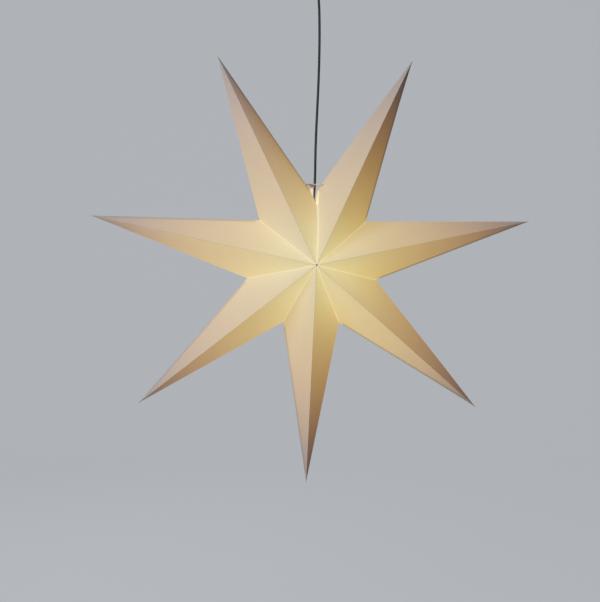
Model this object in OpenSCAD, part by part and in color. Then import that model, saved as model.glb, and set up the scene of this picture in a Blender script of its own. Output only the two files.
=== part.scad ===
// A folded paper advent star: seven hollow points, a lampholder with a bulb, its cord and ceiling cup.
// Millimetres, +Z up, and the front of the star looks along -Y.
// The origin is the ceiling plane above the star, and the middle of the star hangs at drop below it.

/* [Star] */
// Middle of the star to the tip of a point
star_radius = 500; // [400:10:600]
// Middle of the star to the notch between two points
notch_radius = 151.5; // [145:0.5:165]
// Middle of the star to its front apex, and to its back apex
half_depth = 135; // [120:1:150]
// Thickness of the paper
paper = 0.4; // [0.3:0.05:0.5]
// Width of the strips that glue one point to the next
flange_width = 6; // [4:0.5:8]
// Width of the tab that closes the front of each point along one side edge
tab_width = 7; // [5:0.5:9]
// Notch to the start of that tab
tab_start = 10; // [8:0.5:14]
// End of that tab to the tip of the point
tab_stop = 24; // [20:1:40]
// Radius of the small opening where the tips of all the sheets meet
apex_hole_radius = 2; // [1.5:0.25:3]
// Ceiling down to the middle of the star
drop = 690; // [680:10:900]

/* [Slot for the cord] */
// How far the slot reaches down from the top notch
slot_depth = 16; // [12:0.5:16.5]
// How far the slot reaches up from the top notch
slot_rise = 11.5; // [8:0.5:20]
// Half the width of the slot at its top
slot_half_width = 8.5; // [7:0.5:10]
// How far the bottom of the slot lies to the right of the middle
slot_shift = 4.5; // [2:0.5:5]
// Half the width of the slot at its bottom
slot_foot = 0.5; // [0.3:0.1:1]

/* [Tie string] */
// Radius of the string
string_radius = 1; // [0.6:0.1:1.2]
// Height of the string above the top notch
string_height = 24.5; // [20:0.5:40]
// Side edge of a point to the middle of the hole for the string, measured level
string_inset = 2.6; // [2.5:0.1:6]
// Middle of the star to the front strand of the string
string_reach = 8; // [8:0.5:12]
// Radius of the knot
knot_radius = 2.4; // [2:0.1:3]
// Length of each loose end of the knot
tail_length = 7; // [5:0.5:12]

/* [Lampholder] */
// Radius of the lampholder's body
holder_radius = 14.5; // [14:0.25:16]
// Wall of the cap and of the lower shell
holder_wall = 1.6; // [1.2:0.1:1.8]
// Radius of the flat ring at the top of the cap
cap_top_radius = 5.5; // [5.5:0.1:6.5]
// Thickness of the cap where the nipple goes through
cap_top_wall = 5; // [4:0.5:6]
// Height of the cap
cap_height = 24; // [22:0.5:30]
// Height of the lower shell
shell_height = 38; // [36:0.5:46]
// Thickness of the floor of the lower shell
shell_floor = 2; // [1.5:0.1:3]
// Height of the ledge that carries the insert, above the bottom of the shell
ledge_height = 22; // [20:0.5:24]
// Thickness of that ledge
ledge_thickness = 2; // [1.5:0.1:3]
// Inner radius of that ledge
ledge_radius = 9; // [8.5:0.1:9.5]
// Height of the collar of the shell inside the cap
collar_height = 5; // [3:0.5:7]
// Height of the terminal insert
insert_height = 12; // [10:0.5:13]
// Radius of the nipple that the cord goes through
nipple_radius = 4.5; // [4.2:0.1:4.7]
// Height of the nipple above the cap
nipple_rise = 6; // [5:0.5:8]
// Radius of the foot of the nipple
nipple_foot_radius = 8; // [7:0.25:8.5]
// Thickness of the foot of the nipple
nipple_foot = 3; // [2:0.5:4]
// Radius of the small screws that clamp the cord
clamp_screw_radius = 1.4; // [1:0.1:1.5]
// Length of the screw that clamps the cord in the nipple
clamp_screw_length = 2.4; // [2:0.1:3]
// Radius of the terminal screws
terminal_screw_radius = 1.4; // [1:0.1:1.6]
// Middle of the insert to each terminal
terminal_spread = 6; // [5.5:0.1:6.5]

/* [Bulb] */
// Radius of the globe
globe_radius = 22.5; // [18:0.5:30]
// Tip of the base to the bottom of the globe
bulb_length = 78; // [74:1:100]
// Radius of the screw base
base_radius = 6.9; // [6.7:0.05:7]
// Height of the screw base
base_height = 20; // [18:0.5:21]
// Radius of the solder tip
tip_radius = 2.4; // [1.5:0.1:3]
// Height of the solder tip
tip_height = 1.4; // [1:0.1:2]
// Radius of the neck just under the base
neck_radius = 8.5; // [7.5:0.1:9]
// Wall of the threaded sleeve that holds the base
sleeve_wall = 0.45; // [0.3:0.05:0.6]
// Radius of the centre contact
contact_radius = 3; // [2.5:0.1:4]
// Thickness of the centre contact
contact_thickness = 0.8; // [0.5:0.1:1]
// Radius of the rivet of the centre contact
rivet_radius = 1.2; // [0.8:0.1:1.5]

/* [Cord] */
// Radius of the cord
cord_radius = 2.75; // [2.4:0.05:2.9]
// Radius of each insulated wire inside it
wire_radius = 0.95; // [0.7:0.05:1]
// Middle of the cord to each wire
wire_spread = 1.2; // [1.1:0.05:1.4]

/* [Ceiling fitting] */
// Radius of the cup against the ceiling
cup_radius = 44; // [40:1:60]
// Height of the straight part of the cup
cup_band = 20; // [18:1:30]
// Height of the whole cup
cup_height = 58; // [56:1:66]
// Radius of the flat foot of the cup
cup_foot_radius = 12; // [11:0.5:16]
// Wall of the cup
cup_wall = 1.5; // [1.2:0.1:2]
// Width of the ceiling bracket
bracket_width = 18; // [16:1:24]
// Thickness of the ceiling bracket
bracket_thickness = 1.5; // [1:0.1:2]
// Length of the ears that the cup is screwed to
ear_length = 16; // [14:0.5:17]
// Distance between the two ceiling screws
ceiling_screw_spacing = 60; // [56:1:66]
// Radius of the two holes for the ceiling screws
ceiling_screw_hole = 2.5; // [2:0.1:3]
// Ceiling down to the screws of the cup
cup_screw_drop = 10; // [9:0.5:12]
// Radius of the screws of the cup
cup_screw_radius = 2; // [1.5:0.1:2.5]
// Radius of the heads of those screws
cup_screw_head = 3.8; // [3.5:0.1:4.5]
// Thickness of the heads of those screws
cup_screw_head_height = 2; // [1.5:0.1:3]
// Length of those screws inside the cup
cup_screw_length = 6; // [4.5:0.5:7]
// Radius of the cord gland's thread
gland_radius = 5; // [4.5:0.1:5.2]
// Radius of the gland's collar under the cup
gland_collar_radius = 8; // [7.5:0.1:9]
// Thickness of that collar
gland_collar = 8; // [6:0.5:9]
// Length of the gland's tapered sleeve
gland_taper = 14; // [12:0.5:18]
// Length of the gland's thread inside the cup
gland_thread = 6; // [5:0.5:8]
// Width across the flats of the gland's nut
nut_width = 14; // [13:0.5:15]
// Height of the gland's nut
nut_height = 4; // [3:0.5:4.5]
// Width of the terminal block
block_width = 24; // [20:1:28]
// Depth of the terminal block
block_depth = 16; // [14:0.5:18]
// Height of the terminal block
block_height = 12; // [11:0.5:14]
// Middle of the terminal block to each of its two ways
block_spread = 6; // [5:0.5:7]
// Radius of the bores that take the wires
block_bore = 1.6; // [1.4:0.1:2]
// Radius of the screws of the terminal block
block_screw_radius = 1.5; // [1.2:0.1:1.7]

/* [Fits] */
// Clearance between round pieces that fit into each other
fit = 0.1; // [0.05:0.01:0.15]
// Clearance between the sheets and the cap that they hang on
seat_gap = 0.3; // [0.2:0.05:0.4]
// Clearance round the string and the nipple where they pass the paper
pass_gap = 0.4; // [0.3:0.05:0.45]

/* [Hidden] */
// Circles of the exact round pieces
$fn = 64;
// Half of the angle that one point takes of the circle
sector = 180 / 7;
// How far each tip leans clockwise from its own direction, in degrees, as the glue has set it
tip_leans = [-0.7, 1.1, 1.6, 0.5, -1.2, -1.7, 0];
// A length that reaches well past whatever it cuts
far = 400;
// The route of the cord's middle line, from inside the nipple up to inside the ceiling cup
cord_route = [[0, 0, -564], [0, 0, -556], [0, 0, -548], [0.3, 0, -541], [0.9, 0, -533],
    [1.7, 0, -524], [2.2, 0, -514], [2.4, 0, -503], [2.5, 0, -491], [2.5, 0, -478],
    [2.4, 0, -464], [2.4, 0, -450], [2.4, 0, -436], [2.6, 0, -422], [2.8, 0, -408],
    [3.1, 0, -394], [3.5, 0, -380], [3.9, 0, -366], [4.3, 0, -352], [4.7, 0, -338],
    [5.1, 0, -324], [5.5, 0, -310], [5.8, 0, -296], [6.1, 0, -282], [6.3, 0, -268],
    [6.5, 0, -254], [6.6, 0, -240], [6.6, 0, -226], [6.6, 0, -212], [6.5, 0, -198],
    [6.3, 0, -184], [6, 0, -170], [5.6, 0, -156], [5.1, 0, -142], [4.5, 0, -129],
    [3.7, 0, -117], [2.7, 0, -106], [1.7, 0, -97], [0.8, 0, -89], [0.2, 0, -81],
    [0, 0, -73], [0, 0, -62], [0, 0, -51], [0, 0, -42]];

// Lengths of the star that follow from the sizes above
notch_out = notch_radius * cos(sector);
notch_side = notch_radius * sin(sector);
slope = notch_radius / half_depth;
// What is left of the valley edge inside its glue strip, as a share of the whole
strip_share = 1 - flange_width * norm([notch_radius, half_depth]) / (notch_radius * half_depth);

// Heights of the lampholder and the bulb above the middle of the star
cap_cone_top = strip_share * notch_radius - seat_gap - slope * cap_top_radius;
cap_cone_foot = strip_share * notch_radius - seat_gap - slope * holder_radius;
cap_bottom = cap_cone_top - cap_height;
shell_bottom = cap_bottom - shell_height;
holder_bore = holder_radius - holder_wall;
cap_seat = cap_cone_top - cap_top_wall;
nipple_top = cap_cone_top + nipple_rise;
ledge_top = shell_bottom + ledge_height + ledge_thickness;
collar_radius = holder_bore - 2 * fit;
insert_radius = collar_radius - holder_wall - 2 * fit;
insert_top = ledge_top + insert_height;
contact_bottom = ledge_top - 2;
bulb_tip = contact_bottom - fit;
bulb_bottom = bulb_tip - bulb_length;
base_bottom = bulb_tip - tip_height - base_height;
globe_middle = bulb_bottom + globe_radius;
sleeve_radius = base_radius + 1.5 * fit;
wire_end = cap_seat - nipple_foot - 2;

// Heights of the ceiling fitting, which are below the ceiling and so negative
cup_foot = -cup_height;
block_bottom = -bracket_thickness - block_height;
block_way = -bracket_thickness - block_height / 2;

// Directions, places and edges of the seven points, which are numbered clockwise from the top
function heading(i) = 90 - sector - 2 * sector * i;
function tip_heading(i) = heading(i) - tip_leans[i];
function at_star(angle, radius) = [radius * cos(angle), 0, radius * sin(angle)];
function tip(i) = at_star(tip_heading(i), star_radius);
// How far right of the middle the inner side edge of a top point lies at a height above the notch
function edge_x(i, up) = tip(i)[0] * up / (tip(i)[2] - notch_radius);

// A round tube that follows a list of places; a closed one joins its end to its start
function unit(v) = v / norm(v);
function next_place(p, i, closed) = closed ? p[(i + 1) % len(p)] : p[min(i + 1, len(p) - 1)];
function last_place(p, i, closed) = closed ? p[(i + len(p) - 1) % len(p)] : p[max(i - 1, 0)];
function heading_at(p, i, closed) = unit(next_place(p, i, closed) - last_place(p, i, closed));
function ring(middle, direction, across, radius, sides) =
    let (side = unit(cross(direction, across)), up = cross(side, direction))
    [for (k = [0 : sides - 1]) middle + radius * (cos(360 * k / sides) * side
        + sin(360 * k / sides) * up)];
function tube_points(p, across, radius, sides, closed) =
    [for (i = [0 : len(p) - 1]) each ring(p[i], heading_at(p, i, closed), across, radius, sides)];
function tube_quad(a, b, c, d) = [[a, b, c], [a, c, d]];
function tube_sides(rings, sides, closed) =
    [for (i = [0 : rings - (closed ? 1 : 2)]) for (k = [0 : sides - 1])
        each tube_quad(i * sides + k, i * sides + (k + 1) % sides,
            ((i + 1) % rings) * sides + (k + 1) % sides, ((i + 1) % rings) * sides + k)];
function tube_ends(rings, sides) = [[for (k = [0 : sides - 1]) sides - 1 - k],
    [for (k = [0 : sides - 1]) (rings - 1) * sides + k]];

module tube(places, across, radius, sides, closed = false) {
    polyhedron(
        points = tube_points(places, across, radius, sides, closed),
        faces = concat(tube_sides(len(places), sides, closed),
            closed ? [] : tube_ends(len(places), sides)));
}

// Everything in here is placed from the middle of the star
module star_place() {
    translate([0, 0, -drop])
    children();
}

// One point of the star as a solid wedge, along +X, with the lean of its tip
module wedge(lean) {
    polyhedron(
        points = [[0, -half_depth, 0], [0, half_depth, 0], [notch_out, 0, notch_side],
            [notch_out, 0, -notch_side],
            [star_radius * cos(lean), 0, -star_radius * sin(lean)]],
        faces = [[0, 2, 4], [0, 4, 3], [1, 4, 2], [1, 3, 4], [0, 1, 2], [0, 3, 1]]);
}

// The move along X and Z that sets a sheet one thickness inside both sides of a wedge
function outward(a, b, c) = unit(cross(b - a, c - a));
function sheet_step(lean) =
    let (front = [0, -half_depth, 0], upper = [notch_out, 0, notch_side],
        lower = [notch_out, 0, -notch_side],
        point = [star_radius * cos(lean), 0, -star_radius * sin(lean)],
        n = outward(front, point, upper), m = outward(front, lower, point),
        size = n[0] * m[2] - n[2] * m[0])
    [paper * (m[2] - n[2]) / size, 0, paper * (n[0] - m[0]) / size];

// The strip along a valley edge that is glued to the next point, cut from the solid wedge
module glue_strip(lean, side) {
    over = 1.1;
    intersection() {
        wedge(lean);
        rotate([0, -side * sector, 0])
        translate([0, 0, side > 0 ? -paper : -half_depth])
        linear_extrude(height = half_depth + paper)
        polygon([[0, -over * half_depth], [over * notch_radius, 0], [0, over * half_depth],
            [0, strip_share * half_depth], [strip_share * notch_radius, 0],
            [0, -strip_share * half_depth]]);
    }
}

// The tab that closes the sheet lies inside its front half, along the side edge that turns clockwise
module closing_tab(lean) {
    step = sheet_step(lean);
    edge_start = [notch_out, 0, -notch_side];
    edge_end = [star_radius * cos(lean), 0, -star_radius * sin(lean)];
    edge_angle = atan2(edge_end[2] - edge_start[2], edge_end[0] - edge_start[0]);
    difference() {
        intersection() {
            translate(-0.5 * step)
            wedge(lean);
            translate([notch_out, -half_depth, -notch_side])
            rotate([0, -edge_angle, 0])
            translate([tab_start, 0, 0])
            cube([norm(edge_end - edge_start) - tab_start - tab_stop, half_depth - paper, tab_width]);
        }
        translate(-2 * step)
        wedge(lean);
    }
}

// One folded sheet: four walls that meet at the tip, two pairs of glue strips and the closing tab
module folded_point(i) {
    lean = tip_leans[i];
    rotate([0, -heading(i), 0])
    difference() {
        union() {
            difference() {
                wedge(lean);
                translate(-sheet_step(lean))
                wedge(lean);
            }
            glue_strip(lean, 1);
            glue_strip(lean, -1);
            closing_tab(lean);
        }
        rotate([90, 0, 180])
        cylinder(h = 2 * far, r = apex_hole_radius, center = true);
    }
}

// The slot in front of the cord and behind it, cut from the two points at the top
module slot_half(left_top) {
    rotate([90, 0, 0])
    linear_extrude(height = half_depth)
    polygon([[slot_shift - slot_foot, notch_radius - slot_depth],
        [slot_shift + slot_foot, notch_radius - slot_depth],
        [slot_half_width, notch_radius + slot_rise], [left_top, notch_radius + slot_rise]]);
}

module cord_slot() {
    slot_half(-slot_half_width);
    mirror([0, 1, 0])
    slot_half(0);
    translate([0, 0, cap_cone_top - fit])
    cylinder(h = far, r = nipple_radius + pass_gap);
}

module string_hole(i) {
    translate([edge_x(i, string_height) + sign(tip(i)[0]) * string_inset, 0,
        notch_radius + string_height])
    rotate([90, 0, 0])
    cylinder(h = 2 * string_reach, r = string_radius + pass_gap, center = true);
}

module star_point(i) {
    color([0.93, 0.87, 0.74])
    star_place()
    folded_point(i);
}

module top_point(i) {
    color([0.93, 0.87, 0.74])
    star_place()
    difference() {
        folded_point(i);
        cord_slot();
        string_hole(i);
    }
}

// The string runs level through both holes, in front of the cord and behind it, and is knotted
function string_route() =
    let (right = edge_x(0, string_height) + string_inset,
        left = edge_x(6, string_height) - string_inset,
        middle = (right + left) / 2, half = (right - left) / 2)
    [for (a = [0 : 15 : 345]) [middle + half * sign(cos(a)) * pow(abs(cos(a)), 0.35),
        string_reach * sign(sin(a)) * pow(abs(sin(a)), 0.35), notch_radius + string_height]];

module tie_string() {
    color([0.72, 0.6, 0.44])
    star_place() {
        union() {
            tube(string_route(), [0, 0, 1], string_radius, 8, true);
            translate([-1.5 * knot_radius, -string_reach,
                notch_radius + string_height - 0.5 * knot_radius]) {
                sphere(r = knot_radius, $fn = 10);
                rotate([20, -125, 0])
                cylinder(h = tail_length, r = 0.8 * string_radius, $fn = 8);
                rotate([15, 140, 0])
                cylinder(h = tail_length, r = 0.8 * string_radius, $fn = 8);
            }
        }
    }
}

// The bulb is one solid of turned shape: tip, base, neck and globe
module bulb() {
    neck_angle = 50;
    color([0.96, 0.95, 0.92])
    star_place()
    rotate_extrude()
    polygon(concat(
        [[0, bulb_tip], [tip_radius, bulb_tip], [tip_radius, bulb_tip - tip_height],
            [base_radius, bulb_tip - tip_height], [base_radius, base_bottom],
            [neck_radius, base_bottom - 2]],
        [for (a = [neck_angle : -10 : -80])
            [globe_radius * cos(a), globe_middle + globe_radius * sin(a)]],
        [[0, bulb_bottom]]));
}

// The nipple stands in the cap on its wide foot, and the cord goes through it
module nipple() {
    color([0.12, 0.12, 0.12])
    star_place()
    difference() {
        union() {
            translate([0, 0, cap_seat - nipple_foot])
            cylinder(h = nipple_foot, r = nipple_foot_radius);
            translate([0, 0, cap_seat - nipple_foot])
            cylinder(h = nipple_top - cap_seat + nipple_foot, r = nipple_radius);
        }
        translate([0, 0, cap_seat - nipple_foot - 1])
        cylinder(h = far, r = cord_radius + fit);
        translate([0, 0, nipple_top - nipple_rise / 2])
        rotate([0, 90, 0])
        cylinder(h = holder_radius, r = clamp_screw_radius + fit);
    }
}

module nipple_screw() {
    color([0.7, 0.7, 0.7])
    star_place()
    translate([cord_radius + fit, 0, nipple_top - nipple_rise / 2])
    rotate([0, 90, 0])
    cylinder(h = clamp_screw_length, r = clamp_screw_radius);
}

// The sloping shoulder of the cap carries the glue strips of the two top points
module holder_cap() {
    color([0.12, 0.12, 0.12])
    star_place()
    rotate_extrude()
    polygon([[nipple_radius + fit, cap_seat], [nipple_foot_radius + fit, cap_seat],
        [holder_bore, cap_cone_foot - holder_wall], [holder_bore, cap_bottom],
        [holder_radius, cap_bottom], [holder_radius, cap_cone_foot],
        [cap_top_radius, cap_cone_top], [nipple_radius + fit, cap_cone_top]]);
}

// The shell screws onto the cap with its collar, and its ledge carries the insert
module holder_shell() {
    color([0.14, 0.14, 0.14])
    star_place()
    rotate_extrude()
    polygon([[sleeve_radius + sleeve_wall + fit, shell_bottom], [holder_radius, shell_bottom],
        [holder_radius, cap_bottom], [collar_radius, cap_bottom],
        [collar_radius, cap_bottom + collar_height],
        [insert_radius + fit, cap_bottom + collar_height], [insert_radius + fit, ledge_top],
        [ledge_radius, ledge_top], [ledge_radius, ledge_top - ledge_thickness],
        [holder_bore, ledge_top - ledge_thickness], [holder_bore, shell_bottom + shell_floor],
        [sleeve_radius + sleeve_wall + fit, shell_bottom + shell_floor]]);
}

module holder_insert() {
    color([0.85, 0.84, 0.8])
    star_place()
    difference() {
        translate([0, 0, ledge_top])
        cylinder(h = insert_height, r = insert_radius);
        for (side = [-1, 1])
        translate([side * terminal_spread, 0, insert_top - insert_height / 2])
        cylinder(h = far, r = wire_radius + fit);
        for (side = [-1, 1])
        translate([side * terminal_spread, 0, insert_top - insert_height / 4])
        rotate([0, side * 90, 0])
        cylinder(h = holder_radius, r = terminal_screw_radius + fit);
    }
}

module terminal_screw(side) {
    reach = terminal_spread + wire_radius + fit;
    color([0.8, 0.68, 0.35])
    star_place()
    translate([side * reach, 0, insert_top - insert_height / 4])
    rotate([0, side * 90, 0])
    cylinder(h = insert_radius - reach, r = terminal_screw_radius);
}

module threaded_sleeve() {
    color([0.8, 0.68, 0.35])
    star_place()
    difference() {
        translate([0, 0, shell_bottom])
        cylinder(h = ledge_top - shell_bottom, r = sleeve_radius + sleeve_wall);
        translate([0, 0, shell_bottom - 1])
        cylinder(h = far, r = sleeve_radius);
    }
}

module centre_contact() {
    color([0.8, 0.68, 0.35])
    star_place() {
        union() {
            translate([0, 0, contact_bottom])
            cylinder(h = contact_thickness, r = contact_radius);
            translate([0, 0, contact_bottom])
            cylinder(h = ledge_top - contact_bottom, r = rivet_radius);
        }
    }
}

// Both wires leave the end of the cord and drop into the two terminals of the insert
function lamp_wire(side) = [[side * wire_spread, 0, wire_end],
    [side * wire_spread, 0, wire_end - 3], [side * terminal_spread, 0, insert_top + 2],
    [side * terminal_spread, 0, insert_top - insert_height / 2 + 1]];

module lamp_wires() {
    color([0.5, 0.35, 0.2])
    star_place()
    for (side = [-1, 1])
    tube(lamp_wire(side), [0, 1, 0], wire_radius, 8);
}

module power_cord() {
    color([0.05, 0.05, 0.05])
    tube(cord_route, [0, 1, 0], cord_radius, 12);
}

// The gland screws up into the foot of the cup, and its sleeve tapers down along the cord
module ceiling_gland() {
    collar_bottom = cup_foot - gland_collar;
    color([0.08, 0.08, 0.08])
    difference() {
        rotate_extrude()
        polygon([[cord_radius + fit, collar_bottom - gland_taper],
            [gland_radius, collar_bottom - gland_taper], [gland_collar_radius, collar_bottom],
            [gland_collar_radius, cup_foot], [gland_radius, cup_foot],
            [gland_radius, cup_foot + cup_wall + gland_thread],
            [cord_radius + fit, cup_foot + cup_wall + gland_thread]]);
        translate([0, 0, cup_foot - gland_collar / 2])
        rotate([0, 90, 0])
        cylinder(h = far, r = clamp_screw_radius + fit);
    }
}

module gland_screw() {
    color([0.7, 0.7, 0.7])
    translate([cord_radius + fit, 0, cup_foot - gland_collar / 2])
    rotate([0, 90, 0])
    cylinder(h = gland_collar_radius - cord_radius - fit, r = clamp_screw_radius);
}

module gland_nut() {
    color([0.08, 0.08, 0.08])
    difference() {
        translate([0, 0, cup_foot + cup_wall])
        cylinder(h = nut_height, r = nut_width / 2 / cos(30), $fn = 6);
        translate([0, 0, cup_foot])
        cylinder(h = far, r = gland_radius + fit);
    }
}

// The cup is a short band against the ceiling and a cone down to its flat foot
module ceiling_cup() {
    lean_wall = cup_wall * 1.2;
    color([0.1, 0.1, 0.1])
    difference() {
        rotate_extrude()
        polygon([[gland_radius + fit, cup_foot], [cup_foot_radius, cup_foot],
            [cup_radius, -cup_band], [cup_radius, -seat_gap],
            [cup_radius - cup_wall, -seat_gap], [cup_radius - cup_wall, -cup_band],
            [cup_foot_radius - lean_wall, cup_foot + cup_wall],
            [gland_radius + fit, cup_foot + cup_wall]]);
        translate([0, 0, -cup_screw_drop])
        rotate([0, 90, 0])
        cylinder(h = far, r = cup_screw_radius + fit, center = true);
    }
}

// The bracket is a flat strip on the ceiling with an ear at each end for the screws of the cup
module ceiling_bracket() {
    inner_radius = cup_radius - cup_wall - seat_gap;
    half_length = sqrt(pow(inner_radius, 2) - pow(bracket_width / 2, 2));
    color([0.75, 0.75, 0.77])
    difference() {
        union() {
            translate([-half_length, -bracket_width / 2, -bracket_thickness])
            cube([2 * half_length, bracket_width, bracket_thickness]);
            for (side = [0, 1])
            mirror([side, 0, 0])
            translate([half_length - bracket_thickness, -bracket_width / 2, -ear_length])
            cube([bracket_thickness, bracket_width, ear_length]);
        }
        for (side = [-1, 1])
        translate([side * ceiling_screw_spacing / 2, 0, -2 * bracket_thickness])
        cylinder(h = 4 * bracket_thickness, r = ceiling_screw_hole);
        translate([0, 0, -cup_screw_drop])
        rotate([0, 90, 0])
        cylinder(h = far, r = cup_screw_radius + fit, center = true);
    }
}

module cup_screw(side) {
    color([0.7, 0.7, 0.7])
    translate([side * cup_radius, 0, -cup_screw_drop])
    rotate([0, side * 90, 0]) {
        union() {
            cylinder(h = cup_screw_head_height, r = cup_screw_head);
            translate([0, 0, -cup_screw_length])
            cylinder(h = cup_screw_length + 1, r = cup_screw_radius);
        }
    }
}

module terminal_block() {
    color([0.9, 0.9, 0.88])
    difference() {
        translate([-block_width / 2, -block_depth / 2, block_bottom])
        cube([block_width, block_depth, block_height]);
        for (side = [-1, 1])
        translate([side * block_spread, 0, block_way])
        rotate([90, 0, 0])
        cylinder(h = 2 * block_depth, r = block_bore, center = true);
        for (side = [-1, 1])
        for (end = [-1, 1])
        translate([side * block_spread, end * block_depth / 4, block_bottom - 1])
        cylinder(h = block_height / 2 + 1, r = block_screw_radius + fit);
    }
}

module block_screw(side, end) {
    color([0.8, 0.68, 0.35])
    translate([side * block_spread, end * block_depth / 4, block_bottom])
    cylinder(h = block_height / 2 - wire_radius - 2 * fit, r = block_screw_radius);
}

// Both wires leave the top of the cord, pass the front of the block and turn into its two ways
function ceiling_wire(side) = [[side * wire_spread, 0, -42],
    [side * wire_spread, -1, -38], [side * block_spread, -block_depth / 2 - 5, block_bottom - 6],
    [side * block_spread, -block_depth / 2 - 4, block_way - 1],
    [side * block_spread, -block_depth / 2 - 1, block_way],
    [side * block_spread, -block_depth / 8, block_way]];

module ceiling_wires() {
    color([0.5, 0.35, 0.2])
    for (side = [-1, 1])
    tube(ceiling_wire(side), [1, 0, 0], wire_radius, 8);
}

top_point(0);  // star_point_1
star_point(1);  // star_point_2
star_point(2);  // star_point_3
star_point(3);  // star_point_4
star_point(4);  // star_point_5
star_point(5);  // star_point_6
top_point(6);  // star_point_7
tie_string();
bulb();
nipple();
nipple_screw();
holder_cap();
holder_shell();
holder_insert();
threaded_sleeve();
centre_contact();
terminal_screw(-1);  // terminal_screw_1
terminal_screw(1);  // terminal_screw_2
lamp_wires();
power_cord();
ceiling_gland();
gland_nut();
gland_screw();
ceiling_cup();
ceiling_bracket();
cup_screw(-1);  // cup_screw_1
cup_screw(1);  // cup_screw_2
terminal_block();
block_screw(-1, -1);  // block_screw_1
block_screw(1, -1);  // block_screw_2
block_screw(-1, 1);  // block_screw_3
block_screw(1, 1);  // block_screw_4
ceiling_wires();
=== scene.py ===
"""A folded paper advent star, hung as a pendant lamp: the paper, string, cord and finishes."""
import math

import bmesh
import bpy
import numpy as np
from mathutils import Matrix


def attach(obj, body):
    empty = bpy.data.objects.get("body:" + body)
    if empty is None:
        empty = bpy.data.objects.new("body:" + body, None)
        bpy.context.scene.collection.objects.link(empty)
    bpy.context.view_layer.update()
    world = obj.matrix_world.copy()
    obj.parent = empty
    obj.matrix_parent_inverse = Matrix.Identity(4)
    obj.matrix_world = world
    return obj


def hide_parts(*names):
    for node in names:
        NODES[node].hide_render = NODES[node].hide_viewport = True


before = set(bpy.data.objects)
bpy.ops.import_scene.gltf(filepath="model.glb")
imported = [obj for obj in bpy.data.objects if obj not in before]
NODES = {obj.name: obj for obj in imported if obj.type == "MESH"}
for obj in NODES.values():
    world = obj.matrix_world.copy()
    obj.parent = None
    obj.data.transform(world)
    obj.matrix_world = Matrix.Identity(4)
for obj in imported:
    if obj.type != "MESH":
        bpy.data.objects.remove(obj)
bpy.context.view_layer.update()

MM = 0.001
STAR_MIDDLE = np.array([0.0, 0.0, -0.690])
STAR_RADIUS = 500 * MM
NOTCH_RADIUS = 151.5 * MM
HALF_DEPTH = 135 * MM
PAPER = 0.4 * MM
# Half the angle of one point, and how many degrees each tip leans clockwise out of the middle
SECTOR = math.pi / 7
TIP_LEANS = [-0.7, 1.1, 1.6, 0.5, -1.2, -1.7, 0]
# Distance of each wall's plane from the star's middle, and how far the direction in which a wall
# faces, seen from the front, is turned from the direction of its point
WALL_DISTANCE = 74.1 * MM
WALL_TURN = math.radians(79.8)
# How far the fold lines run on past a blunt tip, how far the walls bow between their folds, and
# how far the paper keeps from the star's axis at the apex
TIP_OVERRUN = 4 * MM
WALL_BOW = 0.9 * MM
APEX_GAP = 2 * MM
# How far hand folding has moved each notch, and bent the end of each point, sideways and up
NOTCH_SHIFTS = np.array([(0, 0), (1.2, 0.9), (-2.2, -2.6), (-2.4, 1.6), (1.4, 1.2), (1.2, -3.2),
                         (-2.2, -0.3)]) * MM
TIP_BENDS = np.array([(2.8, -1.3), (0, 0), (-1.0, -1.3), (0, 0), (0, 0), (0, 0), (0, 0)]) * MM
# The glue strips' inner edge, as a share of the way out from the middle to the valley folds
STRIP_SHARE = 0.9405
# The closing tab: its width, and where it starts after the notch and stops before the tip
TAB_WIDTH = 7 * MM
TAB_START = 10 * MM
TAB_STOP = 24 * MM
CORD_DIAMETER = 5.5 * MM
# The string's height over the star's middle, and its two holes
STRING_HEIGHT = 176 * MM
STRING_RIGHT = 19.8 * MM
STRING_LEFT = -20.4 * MM
HOLE_RADIUS = 1.4 * MM


# Camera and cord

SENSOR = 36
PICTURE_HEIGHT = 602
FOCAL_LENGTH = 883.5


def stand(name, content, right, up, back, place):
    """A new object for a camera or a lamp, with its own three axes in three directions."""
    seat = bpy.data.objects.new(name, content)
    bpy.context.collection.objects.link(seat)
    seat.matrix_world = Matrix([[right[k], up[k], back[k], place[k]] for k in range(3)]
                               + [[0, 0, 0, 1]])
    return seat


def set_camera():
    """The camera stands a little left of the star and looks slightly down at it. Its lens is
    its focal length in pixels, brought from the picture's height to the sensor's."""
    camera = bpy.data.cameras.new("photo_view")
    camera.sensor_width = SENSOR
    camera.lens = FOCAL_LENGTH * SENSOR / PICTURE_HEIGHT
    camera.clip_end = 50
    bpy.context.scene.camera = stand(
        "photo_view", camera, right=(0.9982, -0.0576, 0.0184), up=(-0.0140, 0.0758, 0.9970),
        back=(-0.0588, -0.9955, 0.0749), place=(-0.1441, -1.9958, -0.6266))


# The cord's route as in the part's source: x and z in millimetres, from the nipple upwards
CORD_ROUTE = [
    (0, -564), (0, -556), (0, -548), (0.3, -541), (0.9, -533), (1.7, -524), (2.2, -514),
    (2.4, -503), (2.5, -491), (2.5, -478), (2.4, -464), (2.4, -450), (2.4, -436), (2.6, -422),
    (2.8, -408), (3.1, -394), (3.5, -380), (3.9, -366), (4.3, -352), (4.7, -338), (5.1, -324),
    (5.5, -310), (5.8, -296), (6.1, -282), (6.3, -268), (6.5, -254), (6.6, -240), (6.6, -226),
    (6.6, -212), (6.5, -198), (6.3, -184), (6, -170), (5.6, -156), (5.1, -142), (4.5, -129),
    (3.7, -117), (2.7, -106), (1.7, -97), (0.8, -89), (0.2, -81), (0, -73), (0, -62), (0, -51),
    (0, -42)]


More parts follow.
